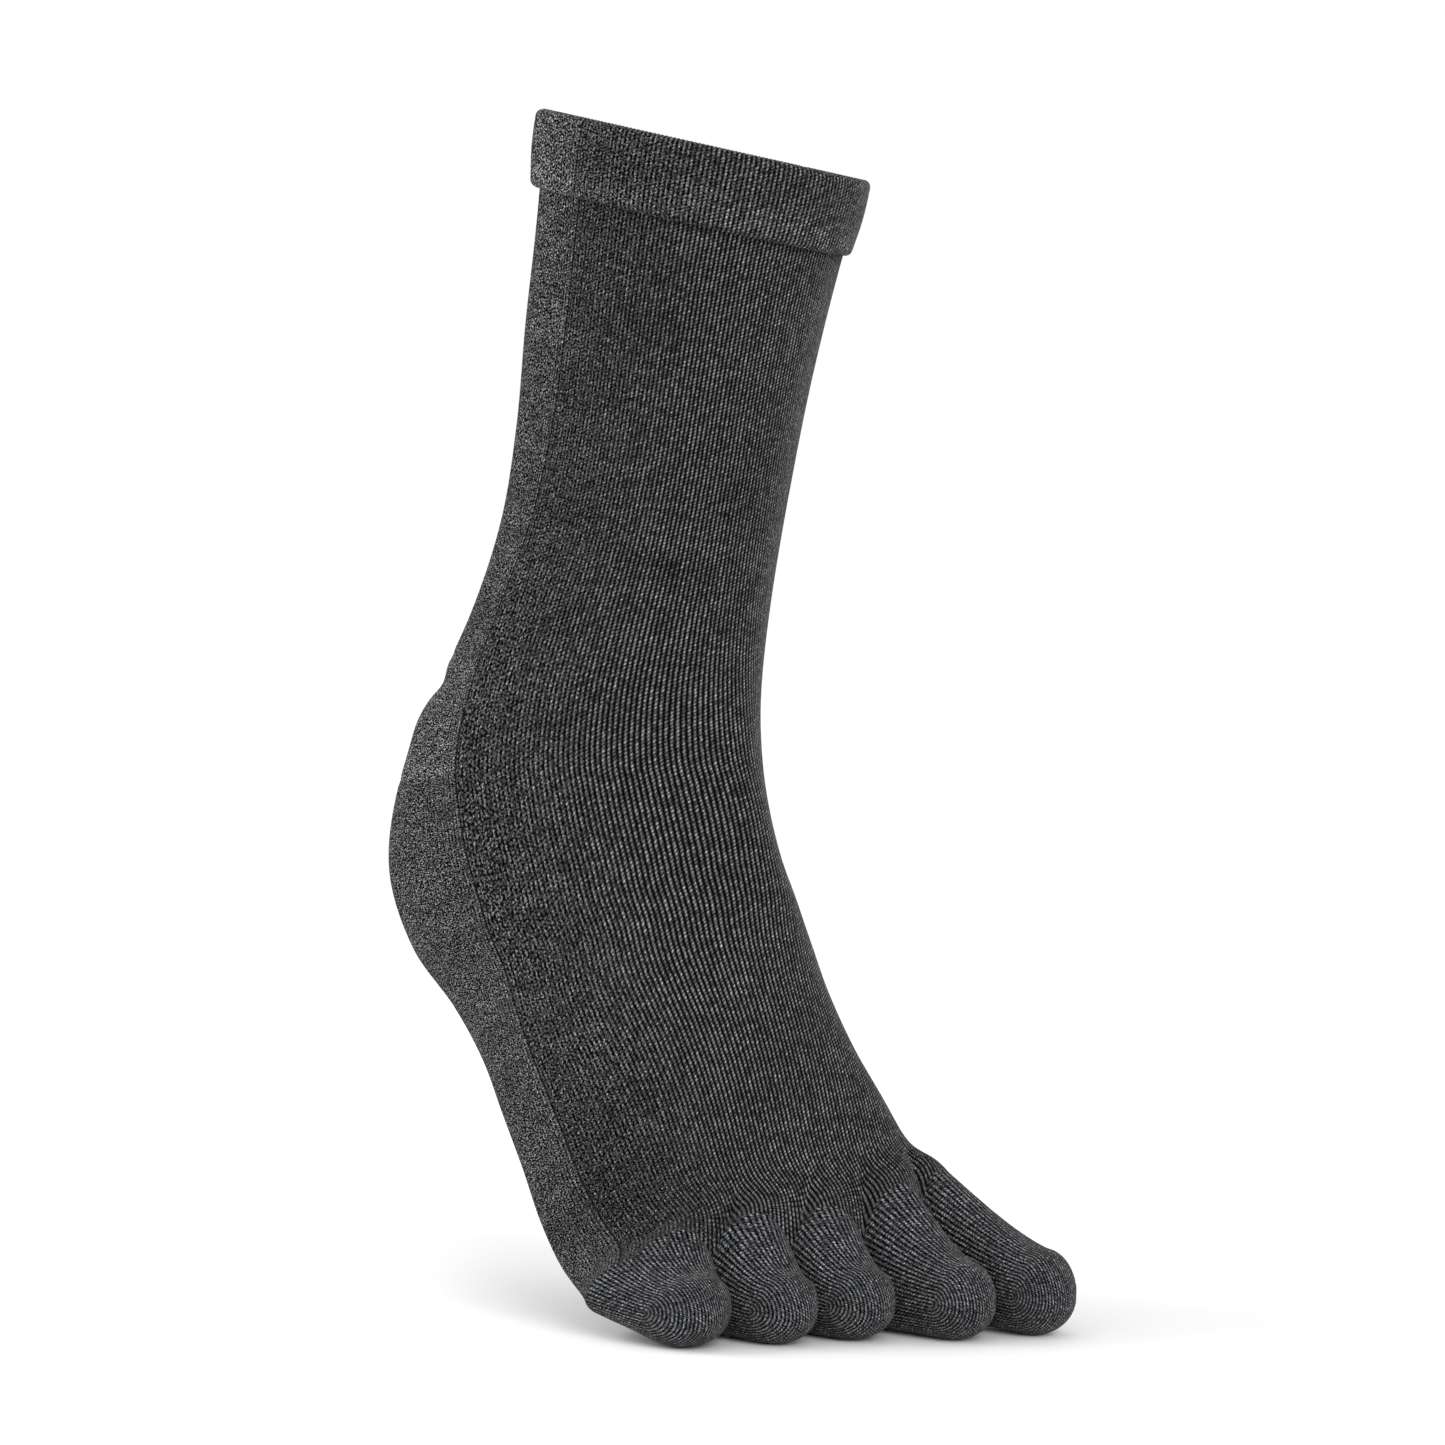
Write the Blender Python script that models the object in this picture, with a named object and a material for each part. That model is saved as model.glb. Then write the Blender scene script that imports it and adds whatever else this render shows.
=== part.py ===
"""Five-toe crew sock for the right foot, held in its worn form on tiptoe.

Metres, +Z up. X runs from the little toe to the big toe, -Y is the way the toes point. The origin is the
middle of the leg opening. Every piece is a knitted wall cut from one skin, or a toe bag that meets it.
"""
import math

import bmesh
import bpy
import numpy as np

# Overall form, as worn
HEIGHT = 0.3125          # ground to the middle of the leg opening
REACH = 0.190            # back of the heel to the tip of the longest toe, level with the ground
LEG_WIDTH = 0.082        # side to side at the leg opening
ANKLE_WIDTH = 0.070      # side to side round the ankle and heel
BALL_WIDTH = 0.100       # side to side across the ball of the foot
TOE_LENGTH = 0.041       # longest toe, from its web to its tip
TOE_HEIGHT = 0.023       # ground to the top of the longest toe

# Knitted walls and what keeps them apart
WALL = 0.0014            # one layer of the knit
GAP = 0.0003             # clearance between pieces that meet
TOE_CLEARANCE = 2 * GAP  # straight ahead of the foot's rim, which slants across it

# Turned welt at the leg opening
CUFF_HEIGHT = 0.0205
CUFF_PROUD = 0.0024      # how far the welt stands out from the leg
CUFF_TUCK = 0.009        # depth below the opening at which the leg's edge sits inside the welt

# Heel pocket's upper edge and the seam under it, counted in sections from the leg opening
HEEL_TOP = 5.5
HEEL_SEAM = 7.0

# Colours of the heather yarn
CHARCOAL = (0.055, 0.056, 0.058)
LIGHTER_CHARCOAL = (0.068, 0.069, 0.071)

# How finely the skin is divided
AROUND = 48
ROWS_PER_SECTION = 2
TOE_TOP_POINTS = 7
TOE_SIDE_POINTS = 4
TOE_STRAIGHT_RINGS = 4
TOE_TIP_RINGS = 5
CUFF_ROUND_STEPS = 3

# Sections across the sock, from the leg opening to the toes. Each row is a slanted slice:
# front_y, back_y: shares of REACH, from the middle of the leg opening
# front_z, back_z: shares of HEIGHT above the ground
# width: share of the width that its table names
# shift: sideways place of the slice's middle, a share of the same width
# widest: where the slice is widest, from -1 at its front to 1 at its back
# front_round, back_round: 1 is an ellipse, less is squarer
# ridge: how far the front leans towards the big toe, a share of half the slice's width
# crest: how far the front rises on the big toe's side, a share of half the slice's width
# lean: how far the slice drops towards the big toe's side, for each metre across
# bow, skew: how far the slice's sides trail the middle, both alike or one each way, shares of REACH
COLUMNS = ("front_y", "front_z", "back_y", "back_z", "width", "shift", "widest", "front_round", "back_round",
           "ridge", "crest", "lean", "bow", "skew")
LEG_SECTIONS = (
    (-0.231, 0.966, 0.231, 1.034, 1.00, 0.00, 0.00, 1.00, 1.00, 0.00, 0.00, 0.07, 0.00, 0.00),
    (-0.187, 0.877, 0.247, 0.940, 0.94, -0.02, 0.00, 1.00, 1.00, 0.00, 0.00, 0.07, 0.00, 0.00),
    (-0.161, 0.792, 0.267, 0.853, 0.87, -0.05, 0.00, 1.00, 1.00, 0.00, 0.00, 0.07, 0.00, 0.00),
    (-0.137, 0.708, 0.279, 0.766, 0.83, -0.07, 0.04, 1.00, 1.00, 0.00, 0.00, 0.06, 0.00, 0.00),
    (-0.118, 0.629, 0.300, 0.684, 0.82, -0.09, 0.10, 1.00, 1.00, 0.00, 0.00, 0.05, 0.00, 0.00),
)
HEEL_SECTIONS = (
    (-0.111, 0.565, 0.347, 0.605, 0.99, -0.13, 0.18, 1.00, 1.00, 0.00, 0.00, 0.03, 0.00, 0.00),
    (-0.113, 0.515, 0.432, 0.527, 1.01, -0.14, 0.22, 1.00, 1.00, 0.00, 0.00, 0.00, 0.00, 0.00),
    (-0.121, 0.471, 0.505, 0.448, 1.03, -0.14, 0.22, 1.00, 0.95, 0.00, 0.00, 0.00, 0.00, 0.00),
    (-0.139, 0.432, 0.537, 0.366, 1.01, -0.14, 0.22, 1.00, 0.95, 0.00, 0.00, 0.00, 0.00, 0.00),
    (-0.155, 0.395, 0.487, 0.295, 1.00, -0.14, 0.20, 1.00, 0.95, 0.03, 0.00, 0.00, 0.00, 0.00),
)
FOOT_SECTIONS = (
    (-0.166, 0.360, 0.384, 0.244, 0.72, -0.09, 0.20, 1.00, 0.90, 0.08, 0.00, 0.00, 0.00, 0.00),
    (-0.179, 0.324, 0.287, 0.200, 0.78, -0.09, 0.20, 1.00, 0.85, 0.12, 0.00, 0.00, 0.00, 0.00),
    (-0.192, 0.284, 0.208, 0.156, 0.88, -0.12, 0.22, 1.00, 0.80, 0.18, 0.00, 0.00, 0.00, 0.00),
    (-0.211, 0.239, 0.132, 0.114, 0.92, -0.11, 0.28, 1.00, 0.78, 0.25, 0.00, 0.00, 0.00, 0.01),
    (-0.229, 0.194, 0.045, 0.070, 0.96, -0.10, 0.30, 1.00, 0.75, 0.30, 0.08, 0.00, 0.01, 0.03),
    (-0.247, 0.151, -0.037, 0.032, 0.95, -0.08, 0.25, 1.00, 0.75, 0.26, 0.32, 0.00, 0.03, 0.06),
    (-0.266, 0.117, -0.126, 0.008, 0.95, -0.07, 0.20, 0.92, 0.75, 0.10, 0.62, 0.00, 0.04, 0.09),
    (-0.284, 0.090, -0.211, 0.003, 0.97, -0.09, 0.15, 0.85, 0.75, 0.00, 0.76, 0.00, 0.06, 0.11),
)

# Toe bags, from the little toe to the big toe:
# edge: where the bag ends across the front of the foot, -1 at the little toe's side and 1 at the big toe's
# length, height: shares of the longest toe's length and height
# full: side to side, a share of the room between its neighbours
TOE_COLUMNS = ("name", "edge", "length", "height", "full")
TOES = (
    ("toe_little", -0.56, 0.52, 0.98, 1.00),
    ("toe_fourth", -0.20, 0.47, 0.96, 1.00),
    ("toe_third", 0.18, 0.49, 0.98, 1.00),
    ("toe_second", 0.57, 0.78, 0.96, 1.00),
    ("toe_big", 1.00, 1.00, 1.00, 0.98),
)
TOE_MORPH = 0.9          # share of a bag's straight part over which it turns from the foot's form to its own
TOE_SQUARENESS = 0.82    # 1 is an ellipse, less is squarer
TOE_TIP_FLATNESS = 0.012  # how far the very tip stands out from its last ring, a share of the longest toe
# Where the little toe's and the big toe's outer sides take over from their tops and soles
TOE_SHOULDER = 0.86


def section_table():
    """All sections in metres, one row each, in the order of COLUMNS."""
    rows = []
    for sections, width in ((LEG_SECTIONS, LEG_WIDTH), (HEEL_SECTIONS, ANKLE_WIDTH), (FOOT_SECTIONS, BALL_WIDTH)):
        for section in sections:
            row = dict(zip(COLUMNS, section))
            rows.append((row["front_y"] * REACH, (row["front_z"] - 1.0) * HEIGHT,
                         row["back_y"] * REACH, (row["back_z"] - 1.0) * HEIGHT,
                         row["width"] * width / 2, row["shift"] * width, row["widest"],
                         row["front_round"], row["back_round"], row["ridge"], row["crest"], row["lean"],
                         row["bow"] * REACH, row["skew"] * REACH))
    return np.array(rows)


SECTIONS = section_table()
LAST = len(SECTIONS) - 1


def section_at(t):
    """Sizes of the slice at place t, 0 at the opening and LAST at the toes, on a smooth curve through the rows."""
    i = int(min(max(math.floor(t), 0), LAST - 1))
    u = t - i
    before = SECTIONS[i - 1] if i > 0 else 2 * SECTIONS[0] - SECTIONS[1]
    after = SECTIONS[i + 2] if i + 2 <= LAST else 2 * SECTIONS[LAST] - SECTIONS[LAST - 1]
    start, end = SECTIONS[i], SECTIONS[i + 1]
    return 0.5 * (2 * start + (end - before) * u + (2 * before - 5 * start + 4 * end - after) * u * u
                  + (3 * start - before - 3 * end + after) * u ** 3)


def power(value, exponent):
    return math.copysign(abs(value) ** exponent, value)


def skin(t, angle):
    """Point on the outside of the sock. The angle is 0 in front, then turns to the little toe's side."""
    (front_y, front_z, back_y, back_z, half, shift, widest, front_round, back_round,
     ridge, crest, lean, bow, skew) = section_at(t)
    along = math.cos(angle)
    across = math.sin(angle)
    front = along >= 0
    squareness = front_round if front else back_round
    x = -half * power(across, squareness)
    middle = 0.5 * (1.0 + widest)
    share = middle - middle * power(along, squareness) if front else middle - (1 - middle) * power(along, squareness)
    y = front_y + (back_y - front_y) * share
    z = front_z + (back_z - front_z) * share
    side = x / half
    y += bow * side * side - skew * side
    z -= lean * x
    if front:
        z += crest * half * along * max(side, 0.0) ** 2
        x += ridge * half * along * along
    return np.array((x + shift, y, z))


def skin_normal(t, angle):
    """Way out of the skin at a point."""
    step = 0.02
    down = skin(t + step, angle) - skin(t - step, angle)
    round_ = skin(t, angle + step) - skin(t, angle - step)
    out = np.cross(round_, down)
    return out / np.linalg.norm(out)


def place_at_depth(depth):
    """Place t that lies a given depth below the leg opening, measured down the middle of the leg."""
    first = SECTIONS[0][:4].reshape(2, 2).mean(axis=0)
    second = SECTIONS[1][:4].reshape(2, 2).mean(axis=0)
    return depth / np.linalg.norm(second - first)


def front_edge(across, top):
    """Point on the rim of the foot where the toes begin; across runs from -1, little toe, to 1, big toe."""
    roundness = SECTIONS[LAST][7 if top else 8]
    angle = math.asin(power(-across, 1.0 / roundness))
    return skin(LAST, angle if top else math.pi - angle)


def front_side(across, share):
    """Point between the rim's top and sole at one place across, share 0 at the top and 1 at the sole."""
    roundness = SECTIONS[LAST][7:9]
    top_angle = math.asin(power(-across, 1.0 / roundness[0]))
    sole_angle = math.copysign(math.pi, -across) - math.asin(power(-across, 1.0 / roundness[1]))
    if abs(across) >= TOE_SHOULDER:
        return skin(LAST, top_angle + (sole_angle - top_angle) * share)
    return front_edge(across, True) * (1 - share) + front_edge(across, False) * share


def smooth(share):
    share = min(max(share, 0.0), 1.0)
    return share * share * (3 - 2 * share)


def toe_base(left, right):
    """Ring where a toe bag meets the foot, from its top left corner round by the right."""
    ring = [front_edge(left + (right - left) * i / (TOE_TOP_POINTS - 1), True) for i in range(TOE_TOP_POINTS)]
    ring += [front_side(right, (i + 1) / (TOE_SIDE_POINTS + 1)) for i in range(TOE_SIDE_POINTS)]
    ring += [front_edge(right + (left - right) * i / (TOE_TOP_POINTS - 1), False) for i in range(TOE_TOP_POINTS)]
    ring += [front_side(left, 1 - (i + 1) / (TOE_SIDE_POINTS + 1)) for i in range(TOE_SIDE_POINTS)]
    return np.array(ring)


def toe_angles():
    """Angle of each point of a toe's ring, from 135 degrees at the top left round by the right."""
    quarter = math.pi / 2
    top = [1.5 * quarter - quarter * i / (TOE_TOP_POINTS - 1) for i in range(TOE_TOP_POINTS)]
    side = [quarter / 2 - quarter * (i + 1) / (TOE_SIDE_POINTS + 1) for i in range(TOE_SIDE_POINTS)]
    return top + side + [a - math.pi for a in top] + [a - math.pi for a in side]


def toe_grid(number):
    """Rings of a toe bag's outside, from the foot to the tip, turned the same way round as the skin."""
    toe = dict(zip(TOE_COLUMNS, TOES[number]))
    half = SECTIONS[LAST][4]
    middle = SECTIONS[LAST][5]
    left = TOES[number - 1][1] if number else -1.0
    right = toe["edge"]
    inset = 0.5 * GAP / half
    base = toe_base(max(left + inset, -TOE_SHOULDER), min(right - inset, TOE_SHOULDER))
    centre_x = middle + half * 0.5 * (left + right)
    half_width = half * 0.5 * (right - left) * toe["full"] - GAP / 2
    half_height = 0.5 * TOE_HEIGHT * toe["height"]
    length = TOE_LENGTH * toe["length"]
    front_y = front_edge(0.5 * (left + right), True)[1]
    nose = min(0.85 * half_width, 0.6 * length)
    stations = [(length - nose) * (i / TOE_STRAIGHT_RINGS) for i in range(TOE_STRAIGHT_RINGS + 1)]
    sizes = [1.0] * len(stations)
    for i in range(1, TOE_TIP_RINGS):
        turn = 0.5 * math.pi * i / TOE_TIP_RINGS
        stations.append(length - nose + nose * math.sin(turn))
        sizes.append(math.cos(turn))
    rings = []
    for station, size in zip(stations, sizes):
        morph = smooth(station / (TOE_MORPH * (length - nose)))
        ring = []
        for point, angle in zip(base, toe_angles()):
            x = centre_x + size * half_width * power(math.cos(angle), TOE_SQUARENESS)
            z = half_height - HEIGHT + size * half_height * power(math.sin(angle), TOE_SQUARENESS)
            y = point[1] + (front_y - point[1]) * station / length - station - TOE_CLEARANCE
            ring.append((point[0] * (1 - morph) + x * morph, y, point[2] * (1 - morph) + z * morph))
        rings.append(ring[::-1])
    return np.array(rings)


# Build

def grid_normals(grid):
    """Way out at each point of a grid of closed rings."""
    down = np.gradient(grid, axis=0)
    round_ = np.roll(grid, -1, axis=1) - np.roll(grid, 1, axis=1)
    out = np.cross(round_, down)
    return out / np.linalg.norm(out, axis=2, keepdims=True)


def new_object(name, points, faces, colour):
    mesh = bpy.data.meshes.new(name)
    mesh.from_pydata([tuple(point) for point in points], [], faces)
    work = bmesh.new()
    work.from_mesh(mesh)
    bmesh.ops.recalc_face_normals(work, faces=work.faces)
    work.to_mesh(mesh)
    work.free()
    mesh.shade_smooth()
    mesh.set_sharp_from_angle(angle=math.radians(50))
    thing = bpy.data.objects.new(name, mesh)
    bpy.context.collection.objects.link(thing)
    thing.data.materials.append(knit_material(name, colour))
    return thing


def knit_material(name, colour):
    material = bpy.data.materials.new(name + "_knit")
    material.use_nodes = True
    shader = material.node_tree.nodes["Principled BSDF"]
    shader.inputs["Base Color"].default_value = (*colour, 1.0)
    shader.inputs["Roughness"].default_value = 0.95
    shader.inputs["Metallic"].default_value = 0.0
    return material


class Wall:
    """Two like grids of points, outside and inside, joined into one closed body."""

    def __init__(self, outside, inside):
        self.rings, self.around = outside.shape[:2]
        self.points = [*outside.reshape(-1, 3), *inside.reshape(-1, 3)]
        self.faces = []

    def corner(self, ring, place, inside):
        return (ring + (self.rings if inside else 0)) * self.around + place % self.around

    def skins(self, rings, places):
        """Faces of both skins over a range of rings and places."""
        for inside in (False, True):
            for i in rings:
                for j in places:
                    self.faces.append((self.corner(i, j, inside), self.corner(i, j + 1, inside),
                                       self.corner(i + 1, j + 1, inside), self.corner(i + 1, j, inside)))

    def edge(self, first, second):
        """Face across the wall's thickness, between two neighbouring places (ring, place)."""
        self.faces.append((self.corner(*first, False), self.corner(*second, False),
                           self.corner(*second, True), self.corner(*first, True)))

    def rim(self, ring):
        for j in range(self.around):
            self.edge((ring, j), (ring, j + 1))

    def frame(self, rings, places):
        """Faces across the thickness, round a patch or a window."""
        first, last = rings[0], rings[-1] + 1
        left, right = places[0], places[-1] + 1
        for j in places:
            self.edge((first, j), (first, j + 1))
            self.edge((last, j), (last, j + 1))
        for i in rings:
            self.edge((i, left), (i + 1, left))
            self.edge((i, right), (i + 1, right))

    def tip(self, point, ring, inside):
        self.points.append(point)
        for j in range(self.around):
            self.faces.append((self.corner(ring, j, inside), self.corner(ring, j + 1, inside),
                               len(self.points) - 1))


def skin_rows():
    """Places t of the leg and foot's rings, from the edge inside the welt to the toes."""
    first = place_at_depth(CUFF_TUCK)
    whole = [i / ROWS_PER_SECTION for i in range(1, LAST * ROWS_PER_SECTION + 1)]
    return [first] + [t for t in whole if t > first + 0.2 / ROWS_PER_SECTION]


def skin_grids():
    """Outside and inside of the leg and foot."""
    grid = np.array([[skin(t, 2 * math.pi * j / AROUND) for j in range(AROUND)] for t in skin_rows()])
    inside = grid - WALL * grid_normals(grid)
    inside[-1, :, 1] = grid[-1, :, 1]
    return grid, inside


def heel_cells():
    """Rings and places of the grid that belong to the heel pocket."""
    rows = skin_rows()
    rings = [i for i in range(len(rows) - 1) if HEEL_TOP <= rows[i] < HEEL_SEAM]
    return rings, list(range(AROUND // 4, 3 * AROUND // 4))


def build_leg_and_foot():
    outside, inside = skin_grids()
    wall = Wall(outside, inside)
    rings, places = heel_cells()
    after_patch = range(places[-1] + 1, places[0] + AROUND)
    wall.skins(range(rings[0]), range(AROUND))
    wall.skins(rings, after_patch)
    wall.skins(range(rings[-1] + 1, wall.rings - 1), range(AROUND))
    wall.frame(rings, places)
    wall.rim(0)
    wall.rim(wall.rings - 1)
    return new_object("leg_and_foot", *used(wall.points, wall.faces), CHARCOAL)


def used(points, faces):
    """Points that faces use, and the faces renumbered."""
    order = sorted({corner for face in faces for corner in face})
    place = {corner: i for i, corner in enumerate(order)}
    return [points[corner] for corner in order], [tuple(place[corner] for corner in face) for face in faces]


def drawn_in(grid):
    """Patch of a grid with its outermost points moved in by the gap."""
    patch = grid.copy()
    for axis in (0, 1):
        line = np.moveaxis(patch, axis, 0)
        for edge, neighbour in ((0, 1), (-1, -2)):
            way = line[neighbour] - line[edge]
            line[edge] += way * GAP / np.linalg.norm(way, axis=-1, keepdims=True)
    return patch


def build_heel_pocket():
    rings, places = heel_cells()
    grids = [drawn_in(grid[rings[0]:rings[-1] + 2, places[0]:places[-1] + 2]) for grid in skin_grids()]
    wall = Wall(*grids)
    patch_rings = range(wall.rings - 1)
    patch_places = range(wall.around - 1)
    wall.skins(patch_rings, patch_places)
    wall.frame(patch_rings, patch_places)
    return new_object("heel_pocket", wall.points, wall.faces, LIGHTER_CHARCOAL)


def cuff_outline():
    """Outline of the welt's wall as (depth below the opening, distance out from the leg's skin)."""
    thick = CUFF_PROUD + WALL
    middle = 0.5 * (CUFF_PROUD - WALL)
    outline = []
    for i in range(CUFF_ROUND_STEPS + 1):
        turn = math.pi * i / CUFF_ROUND_STEPS
        outline.append((0.5 * thick * (1 - math.sin(turn)), middle - 0.5 * thick * math.cos(turn)))
    hem = 0.5 * (CUFF_PROUD - GAP)
    for i in range(CUFF_ROUND_STEPS + 1):
        turn = math.pi * i / CUFF_ROUND_STEPS
        outline.append((CUFF_HEIGHT - hem * (1 - math.sin(turn)), GAP + hem + hem * math.cos(turn)))
    outline.append((CUFF_TUCK - GAP, GAP))
    outline.append((CUFF_TUCK - GAP, -WALL))
    return outline


def build_cuff():
    outline = cuff_outline()
    points = []
    for depth, out in outline:
        t = place_at_depth(depth)
        for j in range(AROUND):
            angle = 2 * math.pi * j / AROUND
            points.append(skin(t, angle) + out * skin_normal(t, angle))
    faces = []
    count = len(outline)
    for i in range(count):
        for j in range(AROUND):
            k = (j + 1) % AROUND
            n = (i + 1) % count
            faces.append((i * AROUND + j, i * AROUND + k, n * AROUND + k, n * AROUND + j))
    return new_object("cuff", points, faces, CHARCOAL)


def build_toe(number):
    outside = toe_grid(number)
    inside = outside - WALL * grid_normals(outside)
    inside[0, :, 1] = outside[0, :, 1]
    wall = Wall(outside, inside)
    wall.skins(range(wall.rings - 1), range(wall.around))
    wall.rim(0)
    middle = outside[-1].mean(axis=0)
    nose = middle + np.array((0.0, -TOE_TIP_FLATNESS * TOE_LENGTH, 0.0))
    wall.tip(nose, wall.rings - 1, False)
    wall.tip(nose + np.array((0.0, WALL, 0.0)), wall.rings - 1, True)
    return new_object(TOES[number][0], wall.points, wall.faces, CHARCOAL)


for thing in list(bpy.data.objects):
    bpy.data.objects.remove(thing, do_unlink=True)
build_cuff()
build_leg_and_foot()
build_heel_pocket()
for number in range(len(TOES)):
    build_toe(number)
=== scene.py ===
"""Looks of the toe sock: knitted cloth over the frame's solids, with floor, light and camera."""

import math

import bpy
import numpy as np
from mathutils import Matrix, Vector


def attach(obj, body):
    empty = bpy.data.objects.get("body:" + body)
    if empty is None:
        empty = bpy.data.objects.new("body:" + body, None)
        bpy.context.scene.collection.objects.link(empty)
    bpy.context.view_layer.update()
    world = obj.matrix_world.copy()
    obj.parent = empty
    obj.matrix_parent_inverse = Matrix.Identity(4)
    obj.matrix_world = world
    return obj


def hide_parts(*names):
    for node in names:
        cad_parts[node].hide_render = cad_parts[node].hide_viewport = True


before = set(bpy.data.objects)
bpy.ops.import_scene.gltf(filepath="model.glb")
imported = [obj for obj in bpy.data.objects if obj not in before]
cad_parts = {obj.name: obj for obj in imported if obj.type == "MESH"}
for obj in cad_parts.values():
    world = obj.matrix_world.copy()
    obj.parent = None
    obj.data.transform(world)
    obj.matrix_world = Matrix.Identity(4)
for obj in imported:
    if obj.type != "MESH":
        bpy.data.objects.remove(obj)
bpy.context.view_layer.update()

# The form of the solids, as the frame's source states it, in metres
HEIGHT = 0.3125
REACH = 0.190
LEG_WIDTH = 0.082
ANKLE_WIDTH = 0.070
BALL_WIDTH = 0.100
TOE_LENGTH = 0.041
TOE_HEIGHT = 0.023
WALL = 0.0014
CUFF_HEIGHT = 0.0205
CUFF_PROUD = 0.0024
CUFF_TUCK = 0.009
CUFF_UNEVEN = 0.00014    # waves of the welt's face

# Columns: front_y, front_z, back_y, back_z, width, shift, widest, front_round, back_round, ridge, crest,
# lean, bow, skew
LEG_SECTIONS = (
    (-0.231, 0.966, 0.231, 1.034, 1.00, 0.00, 0.00, 1.00, 1.00, 0.00, 0.00, 0.07, 0.00, 0.00),
    (-0.187, 0.877, 0.247, 0.940, 0.94, -0.02, 0.00, 1.00, 1.00, 0.00, 0.00, 0.07, 0.00, 0.00),
    (-0.161, 0.792, 0.267, 0.853, 0.87, -0.05, 0.00, 1.00, 1.00, 0.00, 0.00, 0.07, 0.00, 0.00),
    (-0.137, 0.708, 0.279, 0.766, 0.83, -0.07, 0.04, 1.00, 1.00, 0.00, 0.00, 0.06, 0.00, 0.00),
    (-0.118, 0.629, 0.300, 0.684, 0.82, -0.09, 0.10, 1.00, 1.00, 0.00, 0.00, 0.05, 0.00, 0.00),
)
HEEL_SECTIONS = (
    (-0.111, 0.565, 0.347, 0.605, 0.99, -0.13, 0.18, 1.00, 1.00, 0.00, 0.00, 0.03, 0.00, 0.00),
    (-0.113, 0.515, 0.432, 0.527, 1.01, -0.14, 0.22, 1.00, 1.00, 0.00, 0.00, 0.00, 0.00, 0.00),
    (-0.121, 0.471, 0.505, 0.448, 1.03, -0.14, 0.22, 1.00, 0.95, 0.00, 0.00, 0.00, 0.00, 0.00),
    (-0.139, 0.432, 0.537, 0.366, 1.01, -0.14, 0.22, 1.00, 0.95, 0.00, 0.00, 0.00, 0.00, 0.00),
    (-0.155, 0.395, 0.487, 0.295, 1.00, -0.14, 0.20, 1.00, 0.95, 0.03, 0.00, 0.00, 0.00, 0.00),
)
FOOT_SECTIONS = (
    (-0.166, 0.360, 0.384, 0.244, 0.72, -0.09, 0.20, 1.00, 0.90, 0.08, 0.00, 0.00, 0.00, 0.00),
    (-0.179, 0.324, 0.287, 0.200, 0.79, -0.10, 0.20, 1.00, 0.85, 0.12, 0.00, 0.00, 0.00, 0.00),
    (-0.192, 0.284, 0.208, 0.156, 0.86, -0.11, 0.22, 1.00, 0.80, 0.18, 0.00, 0.00, 0.00, 0.00),
    (-0.211, 0.239, 0.132, 0.114, 0.91, -0.11, 0.28, 1.00, 0.78, 0.25, 0.00, 0.00, 0.00, 0.01),
    (-0.229, 0.194, 0.045, 0.070, 0.96, -0.10, 0.30, 1.00, 0.75, 0.30, 0.08, 0.00, 0.01, 0.03),
    (-0.247, 0.151, -0.037, 0.032, 0.95, -0.08, 0.25, 1.00, 0.75, 0.26, 0.32, 0.00, 0.03, 0.06),
    (-0.266, 0.117, -0.126, 0.008, 0.95, -0.07, 0.20, 0.92, 0.75, 0.10, 0.62, 0.00, 0.04, 0.09),
    (-0.284, 0.090, -0.211, 0.003, 0.97, -0.09, 0.15, 0.85, 0.75, 0.00, 0.76, 0.00, 0.06, 0.11),
)
# Columns: name, edge, length, height, full
TOES = (
    ("toe_little", -0.56, 0.52, 0.98, 1.00),
    ("toe_fourth", -0.20, 0.47, 0.96, 1.00),
    ("toe_third", 0.18, 0.49, 0.98, 1.00),
    ("toe_second", 0.57, 0.78, 0.96, 1.00),
    ("toe_big", 1.00, 1.00, 1.00, 0.98),
)
TOE_MORPH = 0.9
TOE_SQUARENESS = 0.82
TOE_SHOULDER = 0.86

# The knit
WALES = 112              # stitches round the leg, half before and half behind the side lines
WALE_STEPS = 6           # columns of the mesh to each stitch
COURSE = 0.0009          # height of one stitch
ROW = 0.0015             # height of one row of the mesh
RIB = 0.00024            # how deep the furrow between two wales is
HEEL_TOP = 5.5
HEEL_SEAM = 7.0
SIDE_FURROW = 0.00032    # depth of the line down each side
WEB_REACH = 0.022        # how far behind the toes the cloth starts to sink between them
WEB_DEPTH = 0.0048       # how far it sinks between two toes
WEB_RISES = (0.0040, 0.0052, 0.0055, 0.0050, 0.0016)   # how far it rises behind each toe
WEB_SOLE = 0.30          # the same under the foot, as a share
TOE_BULBS = (0.0188, 0.0186, 0.0194, 0.0205, 0.0226)   # height of each toe's tip
TOE_FALL = 1.3           # how soon a toe falls from the foot's height to its own
TOE_WALE = 0.0017        # width of one stitch round a toe
TOE_TOP_COLUMNS = 64
TOE_SIDE_COLUMNS = 56

# Brightest yarn of each cloth, and the painted shade between the stitches
TONE = (0.188, 0.191, 0.198)
WELT_TONE = (0.208, 0.211, 0.218)
# The heel's yarn is made paler as painted light, for the light falling on the heel's side.
HEEL_PAINTED_LIGHT_TONE = (0.262, 0.264, 0.262)
TOE_TONE = (0.258, 0.263, 0.276)
GAP_SHADE_TONE = (0.0015, 0.0016, 0.0018)

# Studio light
SKY = 1.0
SUN = 2.0
SUN_WIDTH = 35.0         # degrees across, so that its shadow is soft

# Place of the side line round the sock, in degrees from the front. Columns: t, little toe's side, big toe's side
SIDE_LINE = ((0, 93, -93), (3, 95, -94), (5, 102, -99), (8, 84, -87), (11, 92, -90), (14, 77, -90), (17, 64, -90))
SIDE_LINE_EASE = 0.8     # how far before and behind a place t its line is averaged


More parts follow.
